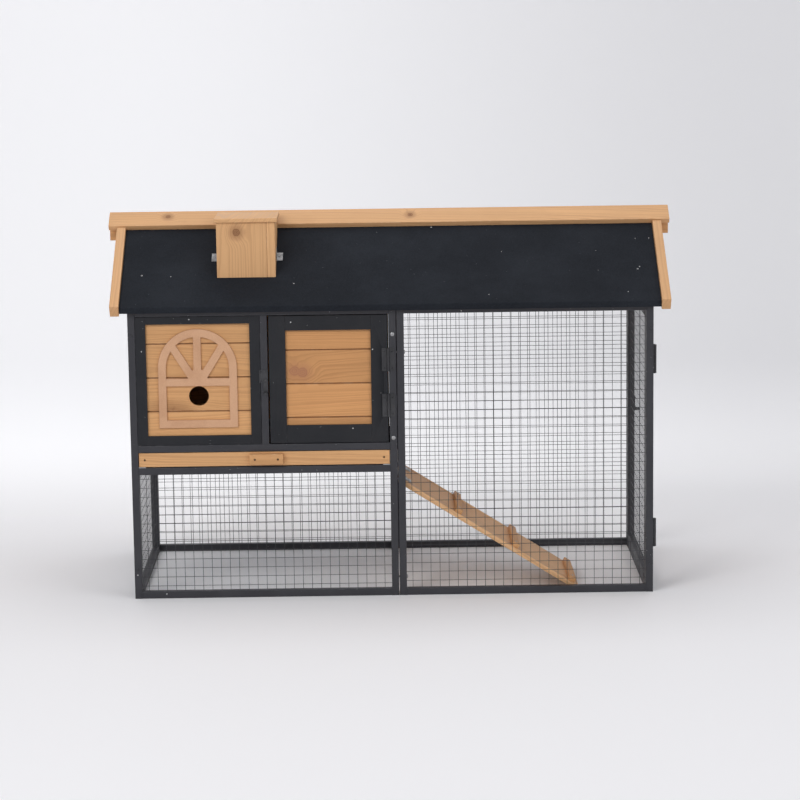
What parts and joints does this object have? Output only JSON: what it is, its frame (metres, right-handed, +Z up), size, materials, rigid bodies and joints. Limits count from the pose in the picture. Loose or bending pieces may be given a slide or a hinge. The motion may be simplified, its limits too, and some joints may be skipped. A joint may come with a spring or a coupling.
{
  "type": "rabbit hutch",
  "caption": "Raised timber rabbit house with a pull-out tray beside a wire run in steel frames, under a felted pitched roof with chimney, doors, turn latches and a hinged ramp.",
  "frame": {"origin": "on the floor, under the middle of the roof", "axes": "+X right along the length seen from the front, +Y to the back, +Z up"},
  "size_m": [1.59, 0.6748, 1.0563],
  "materials": {
    "frame_paint": "matt powder coat with light dust",
    "mesh_wire": "black coated wire",
    "black_hardware": "satin black",
    "dark_wood": "matt charcoal paint",
    "pine": "oiled pine with knots",
    "fibreboard": "matt sealed fibreboard",
    "felt": "mineral felt",
    "zinc": "galvanised"
  },
  "bodies": {
    "hutch": {"front_left_frame": "frame_paint", "front_right_frame": "frame_paint", "back_left_frame": "frame_paint", "back_right_frame": "frame_paint", "left_side_frame": "frame_paint", "divider_frame": "frame_paint", "right_side_frame": "frame_paint", "frame_bolts": "zinc", "front_run_mesh": "mesh_wire", "front_lower_mesh": "mesh_wire", "back_run_mesh": "mesh_wire", "back_lower_mesh": "mesh_wire", "left_lower_mesh": "mesh_wire", "window_panel_frame": "dark_wood", "window_panel_boards": "pine", "arch_trim": "fibreboard", "left_wall_boards": "pine", "back_wall_boards": "pine", "divider_wall_boards": "pine", "front_hinge_post_leaves": "black_hardware", "front_hinge_pins": "black_hardware", "front_latch_plate": "black_hardware", "tray_runners": "zinc", "side_hinge_post_leaves": "black_hardware", "side_hinge_pins": "black_hardware", "side_latch_plate": "black_hardware", "ramp_hinge_rail_leaves": "zinc", "ramp_hinge_pins": "zinc", "front_roof_board": "pine", "back_roof_board": "pine", "front_roof_felt": "felt", "back_roof_felt": "felt", "ridge_beam": "pine", "ridge_caps": "pine", "barge_boards": "pine", "gable_panels": "pine", "rafters": "pine", "roof_screws": "zinc", "chimney_box": "pine", "chimney_cap": "pine", "chimney_brackets": "zinc", "hutch_screws": "zinc"},
    "front_door": {"front_door_frame": "dark_wood", "front_door_boards": "pine", "front_hinge_door_leaves": "black_hardware", "front_door_screws": "zinc"},
    "front_latch": {"front_latch_lever": "black_hardware"},
    "side_door": {"side_door_frame": "frame_paint", "side_door_mesh": "mesh_wire", "side_hinge_door_leaves": "black_hardware", "side_door_screws": "zinc"},
    "side_latch": {"side_latch_lever": "black_hardware"},
    "tray": {"tray_pan": "zinc", "tray_front": "pine", "tray_handle": "pine", "tray_screws": "zinc"},
    "ramp": {"ramp_board": "pine", "ramp_cleats": "pine", "ramp_hinge_board_leaves": "zinc", "ramp_screws": "zinc"}
  },
  "joints": [
    {"name": "front_door_hinge", "type": "hinge", "parent": "hutch", "child": "front_door", "pos_m": [-0.008, -0.3135, 0.604], "axis": [0, 0, 1], "range_deg": [0, 160]},
    {"name": "front_latch_turn", "type": "hinge", "parent": "hutch", "child": "front_latch", "pos_m": [-0.347, -0.313, 0.613], "axis": [0, -1, 0], "range_deg": [0, 90]},
    {"name": "side_door_hinge", "type": "hinge", "parent": "hutch", "child": "side_door", "pos_m": [0.731, -0.269, 0.4075], "axis": [0, 0, -1], "range_deg": [0, 150]},
    {"name": "side_latch_turn", "type": "hinge", "parent": "hutch", "child": "side_latch", "pos_m": [0.728, 0.29, 0.452], "axis": [-1, 0, 0], "range_deg": [0, 90]},
    {"name": "tray_slide", "type": "slide", "parent": "hutch", "child": "tray", "axis": [0, -1, 0], "range_m": [0, 0.5]},
    {"name": "ramp_hinge", "type": "hinge", "parent": "hutch", "child": "ramp", "pos_m": [0.0175, -0.159, 0.334], "axis": [0, -1, 0], "range_deg": [0, 80]}
  ]
}
